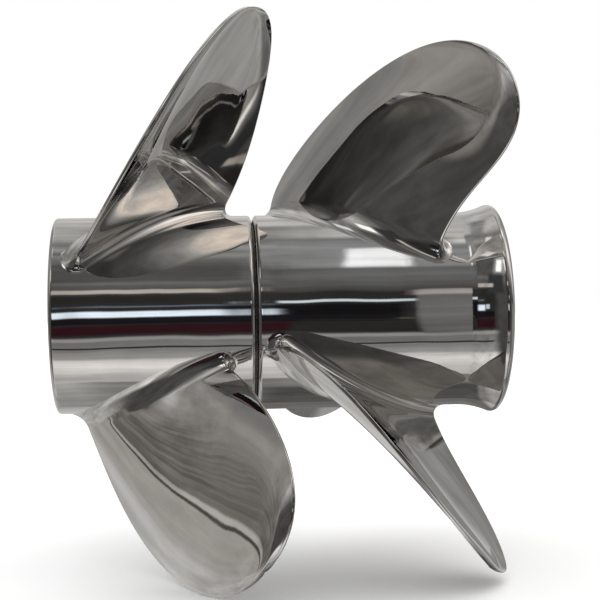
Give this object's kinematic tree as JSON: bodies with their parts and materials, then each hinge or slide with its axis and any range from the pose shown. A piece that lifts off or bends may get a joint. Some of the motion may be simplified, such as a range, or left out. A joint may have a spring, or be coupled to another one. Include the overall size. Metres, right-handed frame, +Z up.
{
  "type": "contra-rotating boat propeller pair",
  "caption": "Contra-rotating pair of polished stainless boat propellers, each with three blades, through-hub exhaust, rubber cushion bush and splined sleeve.",
  "frame": {"origin": "centre of the front splined sleeve's bore at its mouth, on the shaft axis", "axes": "+X aft along the shafts, from the front propeller to the rear one; +Z up; +Y to starboard"},
  "size_m": [0.2843, 0.3422, 0.3569],
  "materials": {
    "polished_stainless": "mirror-polished stainless steel",
    "bronze": "machined bronze",
    "bush_rubber": "matt moulded rubber",
    "plain_steel": "turned stainless steel"
  },
  "bodies": {
    "front_drive": {"front_splined_sleeve": "bronze", "front_thrust_ring": "bronze", "front_lock_washer": "plain_steel", "front_ring_nut": "plain_steel"},
    "front_screw": {"front_propeller": "polished_stainless", "front_rubber_bush": "bush_rubber", "front_bush_shell": "plain_steel"},
    "rear_drive": {"rear_splined_sleeve": "bronze", "rear_thrust_ring": "bronze", "rear_spacer": "plain_steel", "rear_washer": "plain_steel", "rear_castle_nut": "plain_steel", "rear_cotter_pin": "plain_steel"},
    "rear_screw": {"rear_propeller": "polished_stainless", "rear_rubber_bush": "bush_rubber", "rear_bush_shell": "plain_steel"}
  },
  "joints": [
    {"name": "front_bush_twist", "type": "hinge", "parent": "front_drive", "child": "front_screw", "pos_m": [0.042, 0, 0], "axis": [1, 0, 0], "range_deg": [-8, 8], "stiffness_Nm_per_rad": 1500},
    {"name": "contra_rotation", "type": "hinge", "parent": "front_drive", "child": "rear_drive", "pos_m": [0.171, 0, 0], "axis": [1, 0, 0], "continuous": true},
    {"name": "rear_bush_twist", "type": "hinge", "parent": "rear_drive", "child": "rear_screw", "pos_m": [0.171, 0, 0], "axis": [1, 0, 0], "range_deg": [-8, 8], "stiffness_Nm_per_rad": 1500}
  ]
}
